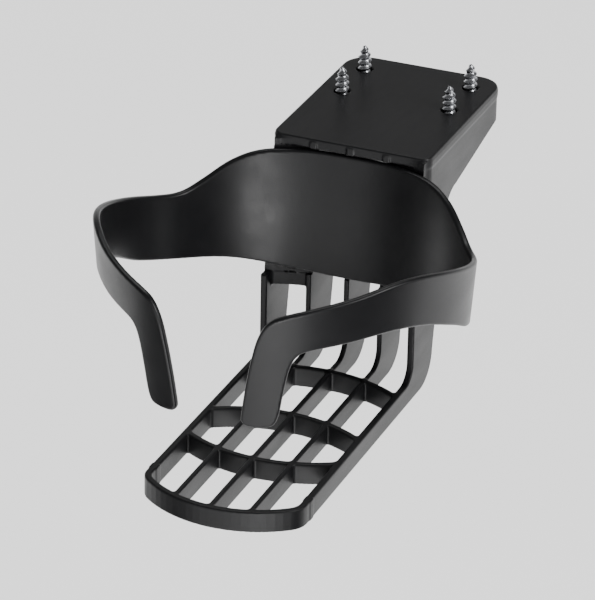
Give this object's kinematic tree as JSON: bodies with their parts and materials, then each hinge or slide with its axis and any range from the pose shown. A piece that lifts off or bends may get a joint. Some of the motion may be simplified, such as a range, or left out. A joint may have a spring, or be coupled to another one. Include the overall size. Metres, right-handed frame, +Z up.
{
  "type": "under-desk cup holder",
  "caption": "Under-desk cup holder: a lattice bracket that screws beneath a desk top, with a cup tray and an open tapered band that steadies a cup or mug.",
  "frame": {"origin": "centre of the flat top face of the mounting flange, which meets the underside of the desk top", "axes": "+Z up, out of the mounting face; -Y out from under the desk towards the user; +X to the user's right, across the holder"},
  "size_m": [0.1014, 0.1567, 0.0769],
  "materials": {
    "bracket_plastic": "satin moulded black",
    "ring_plastic": "satin moulded black",
    "black_screw_steel": "black zinc plating",
    "zinc_screw_steel": "bright zinc plating"
  },
  "bodies": {
    "root": {"bracket": "bracket_plastic", "cup_ring": "ring_plastic", "ring_screw_left_upper": "black_screw_steel", "ring_screw_left_lower": "black_screw_steel", "ring_screw_right_upper": "black_screw_steel", "ring_screw_right_lower": "black_screw_steel", "desk_screw_left_front": "zinc_screw_steel", "desk_screw_left_rear": "zinc_screw_steel", "desk_screw_right_front": "zinc_screw_steel", "desk_screw_right_rear": "zinc_screw_steel"}
  },
  "joints": []
}
